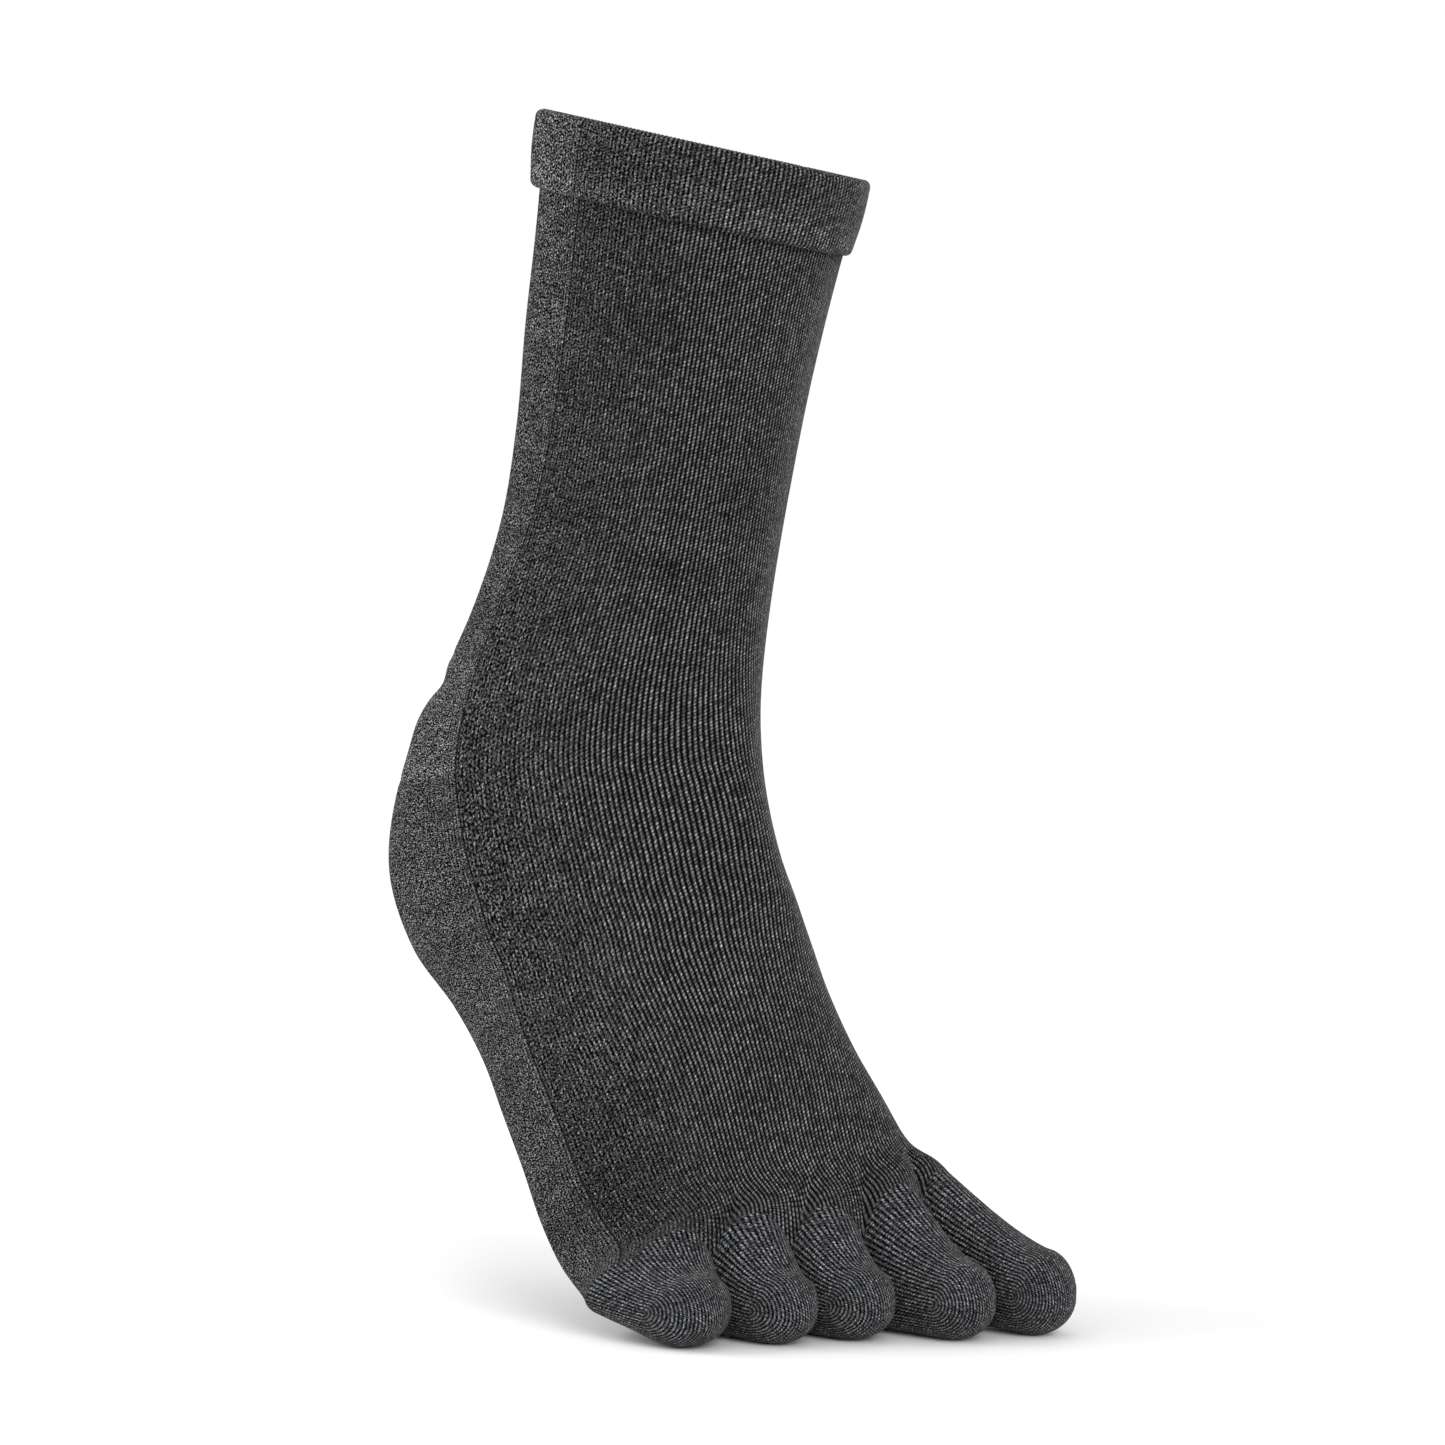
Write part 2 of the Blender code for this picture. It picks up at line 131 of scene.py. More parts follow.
def section_table():
    rows = []
    for sections, width in ((LEG_SECTIONS, LEG_WIDTH), (HEEL_SECTIONS, ANKLE_WIDTH), (FOOT_SECTIONS, BALL_WIDTH)):
        for s in sections:
            rows.append((s[0] * REACH, (s[1] - 1) * HEIGHT, s[2] * REACH, (s[3] - 1) * HEIGHT, s[4] * width / 2,
                         s[5] * width, *s[6:12], s[12] * REACH, s[13] * REACH))
    return np.array(rows)


SECTIONS = section_table()
LAST = len(SECTIONS) - 1


def section_at(t):
    """Sizes of the slices at places t, one row each."""
    t = np.asarray(t, float)
    i = np.clip(np.floor(t), 0, LAST - 1).astype(int)
    u = (t - i)[..., None]
    padded = np.vstack((2 * SECTIONS[0] - SECTIONS[1], SECTIONS, 2 * SECTIONS[LAST] - SECTIONS[LAST - 1]))
    before, start, end, after = padded[i], padded[i + 1], padded[i + 2], padded[i + 3]
    return 0.5 * (2 * start + (end - before) * u + (2 * before - 5 * start + 4 * end - after) * u * u
                  + (3 * start - before - 3 * end + after) * u ** 3)


def power(value, exponent):
    return np.sign(value) * np.abs(value) ** exponent


def skin(t, angle):
    """Points on the outside of the sock; t and angle are arrays of one shape."""
    t, angle = np.broadcast_arrays(np.asarray(t, float), np.asarray(angle, float))
    (front_y, front_z, back_y, back_z, half, shift, widest, front_round, back_round,
     ridge, crest, lean, bow, skew) = np.moveaxis(section_at(t), -1, 0)
    along, across = np.cos(angle), np.sin(angle)
    front = along >= 0
    squareness = np.where(front, front_round, back_round)
    x = -half * power(across, squareness)
    middle = 0.5 * (1 + widest)
    share = middle - np.where(front, middle, 1 - middle) * power(along, squareness)
    y = front_y + (back_y - front_y) * share
    z = front_z + (back_z - front_z) * share
    side = x / half
    y = y + bow * side * side - skew * side
    z = z - lean * x
    z = z + np.where(front, crest * half * along * np.maximum(side, 0) ** 2, 0)
    x = x + np.where(front, ridge * half * along * along, 0)
    return np.stack((x + shift, y, z), axis=-1)


def normals(grid):
    """Way out at each point of a grid of closed rings."""
    down = np.gradient(grid, axis=0)
    round_ = np.roll(grid, -1, axis=1) - np.roll(grid, 1, axis=1)
    out = np.cross(round_, down)
    return out / np.maximum(np.linalg.norm(out, axis=2, keepdims=True), 1e-12)


def place_at_depth(depth):
    first = SECTIONS[0][:4].reshape(2, 2).mean(axis=0)
    second = SECTIONS[1][:4].reshape(2, 2).mean(axis=0)
    return depth / np.linalg.norm(second - first)


def side_angles(t):
    table = np.array(SIDE_LINE)
    around_t = t + np.linspace(-SIDE_LINE_EASE, SIDE_LINE_EASE, 9)
    return [math.radians(np.interp(around_t, table[:, 0], table[:, side]).mean()) for side in (1, 2)]


def even_angles(t, columns):
    """Angles of one ring's columns: even along the cloth in front, and even along it behind."""
    left, right = side_angles(t)
    found = []
    for start, end in ((right, left), (left, right + 2 * math.pi)):
        fine = np.linspace(start, end, 400)
        points = skin(np.full(400, t), fine)
        run = np.concatenate(([0], np.cumsum(np.linalg.norm(np.diff(points, axis=0), axis=1))))
        wanted = np.linspace(0, run[-1], columns // 2 + 1)[:-1]
        found.append(np.interp(wanted, run, fine))
    return np.concatenate(found)


def rows_between(start, end, step):
    """Places t about one step apart, measured where the sock is longest."""
    fine = np.linspace(start, end, 2000)
    lines = [skin(fine, np.full(2000, a)) for a in (0.0, math.pi, math.pi / 2)]
    run = np.mean([np.concatenate(([0], np.cumsum(np.linalg.norm(np.diff(p, axis=0), axis=1)))) for p in lines], axis=0)
    return np.interp(np.linspace(0, run[-1], max(2, round(run[-1] / step) + 1)), run, fine)


def rib(u):
    """Outward step of the cloth across one wale, u from 0 to 1: a ridge for each of its two strands."""
    return np.abs(np.sin(2 * math.pi * u)) ** 0.7 - 0.25 * np.exp(-(np.minimum(u, 1 - u) / 0.1) ** 2) - 0.5


def web(across, behind, top):
    """How far the cloth sinks between the toes and rises behind each: at a place across the front, at a distance
    behind the rim."""
    ramp = np.clip(1 - behind / WEB_REACH, 0, 1) ** 2
    across = np.asarray(across, float)
    sink = np.zeros(across.shape)
    left = -TOE_SHOULDER
    for number, toe in enumerate(TOES):
        right = min(toe[1], TOE_SHOULDER)
        place = np.clip((2 * across - left - right) / (right - left), -1, 1)
        outer = (number == 0) & (place < 0) | (number == len(TOES) - 1) & (place > 0)
        own = (across >= left) & (across < right)
        depth = np.where(outer, 0.0, WEB_DEPTH)
        rise = WEB_RISES[number] * (1.0 if top else WEB_SOLE)
        sink = np.where(own, (rise + depth) * np.abs(place) ** np.where(outer, 2.0, 2.6) - rise, sink)
        left = right
    return ramp * sink * (1.0 if top else -WEB_SOLE)


def bake_cells(rows, count, box, flip=False):
    """Bake coordinates of a block of rows x count faces laid in a box, four corners each."""
    i, j = np.meshgrid(np.arange(rows), np.arange(count), indexing="ij")
    corners = np.stack((np.stack((j, j, j + 1, j + 1), -1) / count, np.stack((i, i + 1, i + 1, i), -1) / rows), -1)
    corners = corners.reshape(-1, 4, 2) * (box[2] - box[0], box[3] - box[1]) + box[:2]
    return (corners[:, ::-1] if flip else corners).reshape(-1, 2)


def bake_strip(number, count):
    """The same for one row of faces across the wall's thickness."""
    low = 0.004 + 0.010 * number
    return bake_cells(1, count, (0.004, low, 0.996, low + 0.007))


def bake_disc(number, around):
    """The same for a many-sided face at a toe's tip."""
    turn = 2 * math.pi * np.arange(around) / around
    return np.stack((0.75 + 0.1 * number + 0.04 * np.cos(turn), 0.95 + 0.04 * np.sin(turn)), -1)


def make_piece(name, outer, inner, uv, span=None, tip=False):
    """A closed wall from an outer and an inner grid of rings. span is the number of wales round a closed ring, and
    None for a patch. The inner grid may have fewer rings."""
    rings, around = outer.shape[:2]
    deep = inner.shape[0]
    closed = span is not None
    columns = around if closed else around - 1
    base = rings * around
    points = np.concatenate((outer.reshape(-1, 3), inner.reshape(-1, 3)))
    faces = []

    def skin_faces(count, first, flip):
        i, j = np.meshgrid(np.arange(count - 1), np.arange(columns), indexing="ij")
        k = (j + 1) % around
        quads = np.stack((i * around + j, (i + 1) * around + j, (i + 1) * around + k, i * around + k), -1)
        quads = quads.reshape(-1, 4) + first
        return quads[:, ::-1] if flip else quads

    faces.append(skin_faces(rings, 0, False))
    faces.append(skin_faces(deep, base, True))
    a = np.arange(columns)
    b = (a + 1) % around
    faces.append(np.stack((a, b, b + base, a + base), -1))
    bake = [bake_cells(rings - 1, columns, (0.004, 0.044, 0.696, 0.996)),
            bake_cells(deep - 1, columns, (0.704, 0.044, 0.996, 0.90), True), bake_strip(0, columns)]
    if not tip:
        low, deep_low = (rings - 1) * around, base + (deep - 1) * around
        faces.append(np.stack((a + low, b + low, b + deep_low, a + deep_low), -1)[:, ::-1])
        bake.append(bake_strip(1, columns))
    if not closed:
        for column, flip in ((0, True), (around - 1, False)):
            a = np.arange(rings - 1) * around + column
            b = a + around
            quads = np.stack((a, b, b + base, a + base), -1)
            faces.append(quads if not flip else quads[:, ::-1])
            bake.append(bake_strip(3 if column else 2, rings - 1))
    faces = np.concatenate(faces).tolist()
    if tip:
        last = [(rings - 1) * around + n for n in range(around)]
        last_in = [base + (deep - 1) * around + n for n in range(around)]
        faces += [last, last_in[::-1]]
        bake += [bake_disc(0, around), bake_disc(1, around)]
    mesh = bpy.data.meshes.new(name)
    mesh.from_pydata(points.tolist(), [], faces)
    loops = np.zeros(len(mesh.loops), np.int32)
    mesh.loops.foreach_get("vertex_index", loops)
    if uv.ndim == 4:
        whole = uv.reshape(-1, 2)
        values = np.zeros((len(loops), 2))
        values[:len(whole)] = whole
        values[len(whole):2 * len(whole)] = uv[:, :, ::-1].reshape(-1, 2)
        values[-2 * around:-around] = uv[-1, :, 1]
        values[-around:] = uv[-1, ::-1, 1]
    else:
        inner_uv = uv[np.linspace(0, rings - 1, deep).round().astype(int)]
        values = np.concatenate((uv.reshape(-1, 2), inner_uv.reshape(-1, 2)))[loops].copy()
    if closed and uv.ndim == 3:
        totals = np.zeros(len(mesh.polygons), np.int32)
        mesh.polygons.foreach_get("loop_total", totals)
        starts = np.concatenate(([0], np.cumsum(totals)[:-1]))
        high = np.maximum.reduceat(values[:, 0], starts)
        low_end = (np.repeat(high, totals) - values[:, 0] > span / 2) & (np.repeat(totals, totals) == 4)
        values[low_end, 0] += span
    mesh.uv_layers.new(name="knit").data.foreach_set("uv", values.astype(np.float32).ravel())
    mesh.uv_layers.new(name="OFBake").data.foreach_set("uv", np.concatenate(bake).astype(np.float32).ravel())
    mesh.shade_smooth()
    mesh.set_sharp_from_angle(angle=math.radians(60))
    thing = bpy.data.objects.new(name, mesh)
    bpy.context.scene.collection.objects.link(thing)
    return thing


def body_rows():
    """Places t of the rings of the leg and foot, and the numbers of those at which the pieces part."""
    stops = (place_at_depth(CUFF_TUCK), HEEL_TOP, HEEL_SEAM, LAST)
    rows = [rows_between(a, b, ROW) for a, b in zip(stops, stops[1:])]
    ts = np.concatenate([rows[0]] + [r[1:] for r in rows[1:]])
    return ts, len(rows[0]) - 1, len(rows[0]) + len(rows[1]) - 2


def heel_step(ts, angles, columns):
    """The heel's pocket: a dent where its upper edge is sewn, a fuller cloth under it, and a seam below."""
    down = (ts[:, None] - HEEL_TOP)
    behind = 0.5 - 0.5 * np.tanh((np.abs(np.mod(angles, 2 * math.pi) - math.pi) - 1.25) / 0.16)
    edge = -0.0004 * np.exp(-((down - 0.03) / 0.04) ** 2)
    dent = -0.0012 * np.exp(-((down - 0.34) / 0.15) ** 2)
    full = 0.0012 * np.exp(-((down - 0.80) / 0.32) ** 2)
    seam = -0.00022 * np.exp(-((ts[:, None] - HEEL_SEAM) / 0.03) ** 2)
    return (edge + dent + full + seam) * behind


def body_grid(ts):
    columns = WALES * WALE_STEPS
    half = columns // 2
    angles = np.array([even_angles(t, columns) for t in ts])
    outer = skin(ts[:, None], angles)
    rim_round = SECTIONS[LAST][7:9]
    front = np.cos(angles) >= 0
    across = -power(np.sin(angles), np.where(front, rim_round[0], rim_round[1]))
    behind = np.linalg.norm(outer - outer[-1][None], axis=2)
    sink = np.where(front, web(across, behind, True), web(across, behind, False))
    out = normals(outer)
    outer[..., 2] -= sink
    outer = outer + out * heel_step(ts, angles, columns)[..., None]
    run = np.vstack((np.zeros((1, columns)), np.cumsum(np.linalg.norm(np.diff(outer, axis=0), axis=2), axis=0)))
    v = np.concatenate((np.tile(run[:, [half // 2]], (1, half)), np.tile(run[:, [half + half // 2]], (1, half))), 1)
    u = np.tile(np.arange(columns) / WALE_STEPS, (len(ts), 1))
    out = normals(outer)
    relief = np.clip(behind / 0.003, 0, 1) * RIB * rib(u % 1.0)
    line = np.minimum(np.abs(u - 0.0), np.minimum(np.abs(u - WALES / 2), np.abs(u - WALES)))
    relief = relief - SIDE_FURROW * np.exp(-(line / 0.28) ** 2)
    inner = outer - WALL * out
    inner[-1, :, 1] = outer[-1, :, 1]
    return outer + out * relief[..., None], inner, np.stack((u, v / COURSE), -1)


def wrapped(grid, start, stop):
    """Columns of a grid of closed rings, from one to another, with the first again at the end of the round."""
    return np.take(grid, np.arange(start, stop + 1) % grid.shape[1], axis=1)


def build_body():
    ts, top, seam = body_rows()
    outer, inner, uv = body_grid(ts)
    columns = outer.shape[1]
    half = columns // 2
    thin = 4

    def rings(start, stop, step):
        return np.unique(np.concatenate((np.arange(start, stop, step), [stop])))

    leg = make_piece("leg_knit", outer[:top + 1], inner[rings(0, top, thin)], uv[:top + 1], span=WALES)
    foot = make_piece("foot_knit", outer[seam:], inner[rings(seam, len(ts) - 1, thin)], uv[seam:], span=WALES)
    rows = slice(top, seam + 1)
    front = make_piece("instep_knit", outer[rows][:, :half + 1], inner[rows][:, :half + 1], uv[rows][:, :half + 1])
    back_uv = wrapped(uv[rows], half, columns).copy()
    back_uv[:, -1, 0] = WALES
    back = make_piece("heel_knit", wrapped(outer[rows], half, columns), wrapped(inner[rows], half, columns), back_uv)
    return leg, foot, front, back


def build_cuff():
    """Turned welt: a rounded top edge, a slightly full face and a rolled hem that rests on the leg."""
    thick = CUFF_PROUD + WALL
    outline = []
    for i in range(9):
        turn = math.pi * i / 8
        outline.append((0.5 * thick * (1 - math.sin(turn)), 0.5 * (CUFF_PROUD - WALL) - 0.5 * thick * math.cos(turn)))
    for i in range(1, 13):
        share = i / 13
        outline.append((0.5 * thick + (CUFF_HEIGHT - 1.2 * thick) * share,
                        CUFF_PROUD + 0.0004 * math.sin(math.pi * share)))
    hem = CUFF_PROUD - 0.0003
    for i in range(9):
        turn = 0.5 * math.pi * i / 8
        outline.append((CUFF_HEIGHT - hem * (1 - math.sin(turn)), 0.0003 + hem * math.cos(turn)))
    outline.append((CUFF_TUCK - 0.0003, 0.0003))
    outline.append((CUFF_TUCK - 0.0003, -WALL))
    outline = np.array(outline)
    columns = WALES * WALE_STEPS
    rings = []
    for depth, out in outline:
        t = place_at_depth(depth)
        angles = even_angles(t, columns)
        strip = skin(np.array([t - 0.02, t, t + 0.02])[:, None], np.tile(angles, (3, 1)))
        uneven = np.sin(3 * angles + 0.6) + 0.8 * np.sin(5 * angles + 2.1) + 0.6 * np.sin(11 * angles)
        share = np.clip(out / CUFF_PROUD, 0, 1)[..., None] * CUFF_UNEVEN
        rings.append(strip[1] + (out + share * uneven)[:, None] * normals(strip)[1])
    grid = np.array(rings)
    run = np.concatenate(([0], np.cumsum(np.linalg.norm(np.diff(outline, axis=0), axis=1))))
    u = np.tile(np.arange(columns) / WALE_STEPS, (len(outline), 1))
    face = (np.arange(len(outline)) > 3) & (np.arange(len(outline)) < len(outline) - 4)
    line = np.minimum(np.abs(u), np.minimum(np.abs(u - WALES / 2), np.abs(u - WALES)))
    relief = np.where(face[:, None], RIB * rib(u % 1.0) - 0.7 * SIDE_FURROW * np.exp(-(line / 0.28) ** 2), 0)
    grid = grid + normals(grid) * relief[..., None]
    uv = np.stack((u, np.tile((run / COURSE)[:, None], (1, columns))), -1)
    rings, around = grid.shape[:2]
    i, j = np.meshgrid(np.arange(rings), np.arange(around), indexing="ij")
    k, n = (j + 1) % around, (i + 1) % rings
    faces = np.stack((i * around + j, n * around + j, n * around + k, i * around + k), -1).reshape(-1, 4)
    mesh = bpy.data.meshes.new("cuff_knit")
    mesh.from_pydata(grid.reshape(-1, 3).tolist(), [], faces.tolist())
    corner_u = np.where(np.stack((j, j, j + 1, j + 1), -1) == around, WALES,
                        np.stack((j, j, j + 1, j + 1), -1) / WALE_STEPS)
    corner_v = (run / COURSE)[np.stack((i, n, n, i), -1)]
    values = np.stack((corner_u, corner_v), -1).reshape(-1, 2)
    mesh.uv_layers.new(name="knit").data.foreach_set("uv", values.astype(np.float32).ravel())
    bake = bake_cells(rings, around, (0.004, 0.004, 0.996, 0.996))
    mesh.uv_layers.new(name="OFBake").data.foreach_set("uv", bake.astype(np.float32).ravel())
    mesh.shade_smooth()
    thing = bpy.data.objects.new("cuff_knit", mesh)
    bpy.context.scene.collection.objects.link(thing)
    return thing


def front_edge(across, top):
    roundness = SECTIONS[LAST][7 if top else 8]
    angle = np.arcsin(power(-np.asarray(across, float), 1 / roundness))
    point = skin(LAST, angle if top else math.pi - angle)
    sink = web(across, 0.0, top)
    return point - np.stack((np.zeros_like(sink), np.zeros_like(sink), sink), -1)


def front_side(across, share):
    roundness = SECTIONS[LAST][7:9]
    top_angle = math.asin(power(-across, 1 / roundness[0]))
    sole_angle = math.copysign(math.pi, -across) - math.asin(power(-across, 1 / roundness[1]))
    share = np.asarray(share, float)
    if abs(across) >= TOE_SHOULDER:
        return skin(LAST, top_angle + (sole_angle - top_angle) * share)
    return front_edge(across, True) * (1 - share)[:, None] + front_edge(across, False) * share[:, None]


def toe_rings(number):
    """A toe's rings, from the foot to the tip, with the angle of each column and the turn of each ring."""
    name, edge, share, height, full = TOES[number]
    half, middle = SECTIONS[LAST][4], SECTIONS[LAST][5]
    left = TOES[number - 1][1] if number else -1.0
    a, b = max(left, -TOE_SHOULDER), min(edge, TOE_SHOULDER)
    top = np.linspace(a, b, TOE_TOP_COLUMNS + 1)
    side = np.linspace(0, 1, TOE_SIDE_COLUMNS + 1)
    base = np.concatenate((front_edge(top, True)[:-1], front_side(b, side)[:-1],
                           front_edge(top[::-1], False)[:-1], front_side(a, 1 - side)[:-1]))
    quarter = math.pi / 2
    top_angle = (1.5 * quarter - quarter * np.linspace(0, 1, TOE_TOP_COLUMNS + 1))[:-1]
    side_angle = (quarter / 2 - quarter * side)[:-1]
    angles = np.concatenate((top_angle, side_angle, top_angle - math.pi, side_angle - math.pi))
    centre_x = middle + half * 0.5 * (left + edge)
    half_width = half * 0.5 * (edge - left) * full
    half_height = 0.5 * TOE_BULBS[number]
    length = TOE_LENGTH * share
    front_y = front_edge(0.5 * (left + edge), True)[1]
    nose = min(0.86 * half_width, 0.5 * length)
    straight = np.linspace(0, length - nose, max(10, round((length - nose) / 0.0010)))
    turns = np.linspace(0, 0.5 * math.pi, 20)[1:-1]
    stations = np.concatenate((straight, length - nose + nose * np.sin(turns)))
    turning = np.concatenate((np.zeros(len(straight)), turns))
    rings = []
    for station, turn in zip(stations, turning):
        along = min(station / (length - nose), 1.0)
        morph = 1 - (1 - along) ** TOE_FALL
        neck = 1 - 0.02 * math.sin(math.pi * along) ** 2
        size = math.cos(turn)
        lower = 1 - 0.14 * math.sin(turn) ** 2
        x = centre_x + size * half_width * neck * power(np.cos(angles), 0.94)
        z = half_height * lower - HEIGHT + size * half_height * neck * lower * power(np.sin(angles), 0.94)
        y = base[:, 1] + (front_y - base[:, 1]) * station / length - station
        ring = np.stack((base[:, 0] * (1 - morph) + x * morph, y, base[:, 2] * (1 - morph) + z * morph), -1)
        rings.append(ring[::-1])
    return np.array(rings), angles[::-1], stations, turning, half_width


def even_ring_angles(grid, angles):
    """Angle of each point by its distance along its ring. The middles of the toe's sides stay at 0 and -180
    degrees."""
    steps = np.linalg.norm(np.roll(grid, -1, axis=1) - grid, axis=2)
    run = np.concatenate((np.zeros((len(grid), 1)), np.cumsum(steps, axis=1)[:, :-1]), axis=1)
    whole = steps.sum(axis=1)
    found = np.zeros(run.shape)
    for ring, (place, length) in enumerate(zip(run, whole)):
        left, right = np.interp((-math.pi, 0.0), angles, place)
        sole = -math.pi + math.pi * (place - left) / (right - left)
        top = math.pi * np.mod(place - right, length) / (length + left - right)
        found[ring] = np.where((angles >= -math.pi) & (angles < 0), sole, top)
    return found


def toe_knit_map(grid, angles, stations, turning, half_width):
    """Knit coordinates of a toe: the wales run along its top, over the tip and back along its sole. One value for
    each corner of each face, because the top's courses and the sole's meet along the toe's sides."""
    wales = round(math.pi * half_width / TOE_WALE)
    size = np.cos(turning)[:, None]
    even = even_ring_angles(grid, angles)
    across = np.clip(size * np.cos(even), -1, 1)
    up = size * np.sin(even)
    u = (np.arcsin(across) / math.pi + 0.5) * wales
    ahead = np.sin(turning)[:, None] * np.ones_like(up)
    over = np.arctan2(ahead, np.maximum(up, 1e-6))
    under = np.arctan2(ahead, np.minimum(up, -1e-6))
    middle = grid[:, np.abs(angles - 0.5 * math.pi).argmin()]
    length = np.concatenate(([0], np.cumsum(np.linalg.norm(np.diff(middle, axis=0), axis=1))))
    straight = length[turning == 0][-1]
    run = np.minimum(length, straight)[:, None]
    top = (run + half_width * over) / COURSE
    sole = (2 * straight - run + half_width * under) / COURSE
    columns = len(angles)
    j = np.arange(columns)
    k = (j + 1) % columns
    height = np.sin(np.angle(np.exp(1j * angles[j]) + np.exp(1j * angles[k])))
    value = np.zeros((len(stations) - 1, columns, 4, 2))
    i = np.arange(len(stations) - 1)
    for corner, (row, column) in enumerate(((i, j), (i + 1, j), (i + 1, k), (i, k))):
        value[:, :, corner, 0] = u[row][:, column]
        value[:, :, corner, 1] = np.where(height[None] >= 0, top[row][:, column], sole[row][:, column])
    return value, u


def build_toe(number):
    grid, angles, stations, turning, half_width = toe_rings(number)
    out = normals(grid)
    values, u = toe_knit_map(grid, angles, stations, turning, half_width)
    fade = np.clip(stations / 0.004, 0, 1) * np.clip(2.2 * np.cos(turning), 0, 1)
    outer = grid + out * (0.5 * RIB * rib(u % 1.0) * fade[:, None])[..., None]
    inner = grid - WALL * out
    inner[0, :, 1] = grid[0, :, 1]
    return make_piece(TOES[number][0] + "_knit", outer, inner, values, span=1, tip=True)


class Nodes:
    """Short hand for a material's nodes."""

    def __init__(self, material):
        self.tree = material.node_tree
        self.count = 0

    def add(self, kind, **settings):
        node = self.tree.nodes.new(kind)
        node.location = (-1800 + 180 * (self.count % 12), -200 * (self.count // 12))
        self.count += 1
        for key, value in settings.items():
            setattr(node, key, value)
        return node

    def put(self, socket, value):
        if isinstance(value, bpy.types.NodeSocket):
            self.tree.links.new(value, socket)
        else:
            socket.default_value = value

    def math(self, operation, *values):
        node = self.add("ShaderNodeMath", operation=operation)
        for socket, value in zip(node.inputs, values):
            self.put(socket, value)
        return node.outputs[0]

    def spread(self, value, low, high, new_low, new_high):
        node = self.add("ShaderNodeMapRange", clamp=True)
        for socket, item in zip(node.inputs, (value, low, high, new_low, new_high)):
            self.put(socket, item)
        return node.outputs[0]

    def noise(self, vector, scale, detail=2.0, rough=0.5):
        node = self.add("ShaderNodeTexNoise", noise_dimensions="3D")
        self.put(node.inputs["Vector"], vector)
        self.put(node.inputs["Scale"], scale)
        self.put(node.inputs["Detail"], detail)
        self.put(node.inputs["Roughness"], rough)
        return node.outputs["Fac"]

    def vector(self, x, y, z=0.0):
        node = self.add("ShaderNodeCombineXYZ")
        for socket, value in zip(node.inputs, (x, y, z)):
            self.put(socket, value)
        return node.outputs[0]


